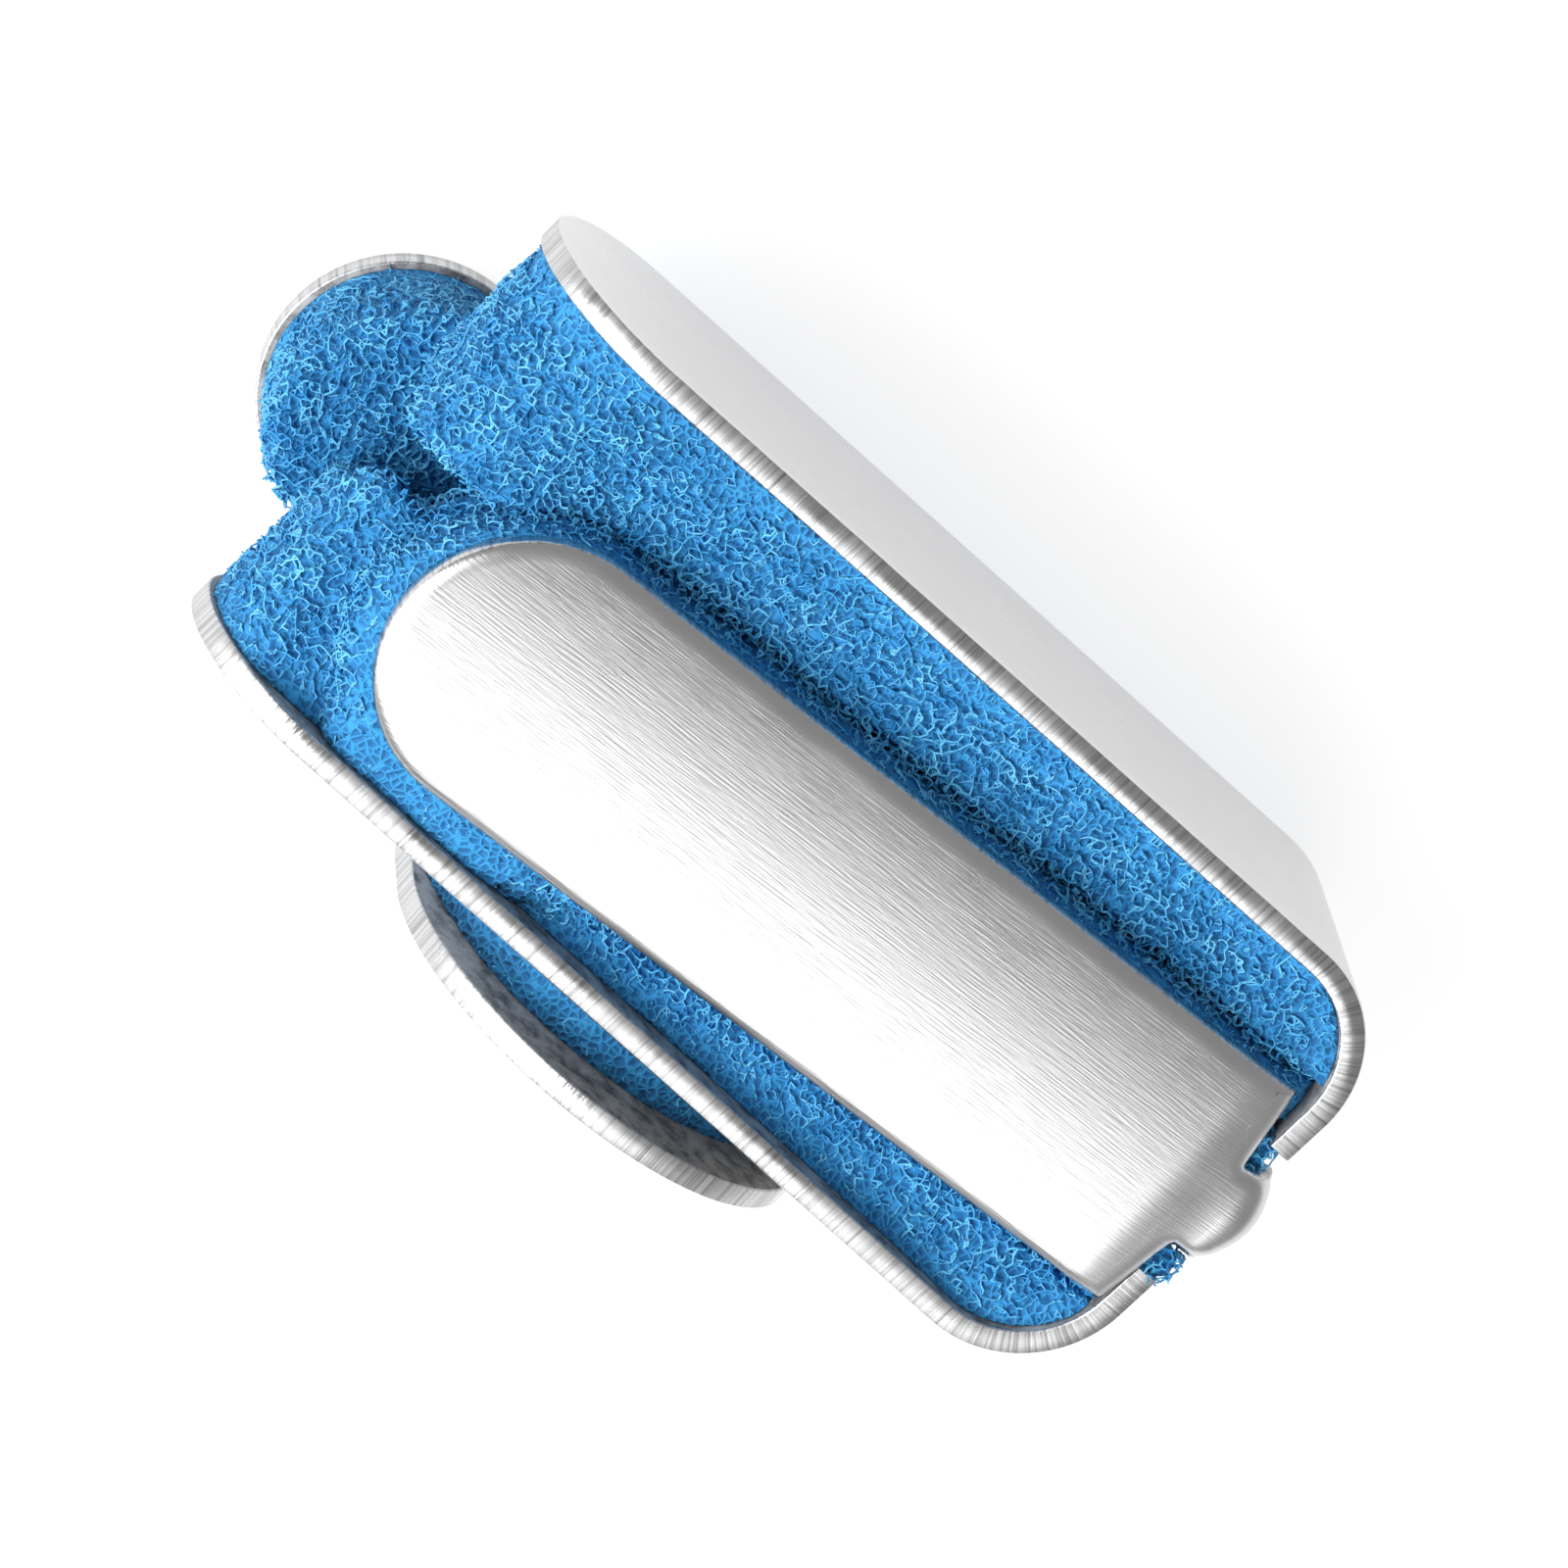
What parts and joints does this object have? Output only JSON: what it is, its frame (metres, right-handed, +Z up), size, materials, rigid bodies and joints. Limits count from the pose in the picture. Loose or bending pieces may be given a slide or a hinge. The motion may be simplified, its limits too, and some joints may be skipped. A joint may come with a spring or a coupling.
{
  "type": "aluminium foam finger splint",
  "caption": "Folded aluminium finger splint: a cage of prongs with round ends and a side wing, lined with open cell foam, open at one end for a finger.",
  "frame": {"origin": "on the floor under the middle of the whole splint", "axes": "+X towards the open end where the finger goes in, +Y towards the side with the wing, +Z up from the back prong to the top prong"},
  "size_m": [0.0554, 0.0278, 0.0181],
  "materials": {
    "sheet": "lengthwise brushed satin with sheared edges",
    "foam": "open cell reticulated foam, matte"
  },
  "bodies": {
    "root": {"aluminium_sheet": "sheet", "top_pad": "foam", "back_pad": "foam", "right_side_pad": "foam", "left_side_pad": "foam", "end_pad": "foam", "wing_pad": "foam"}
  },
  "joints": []
}
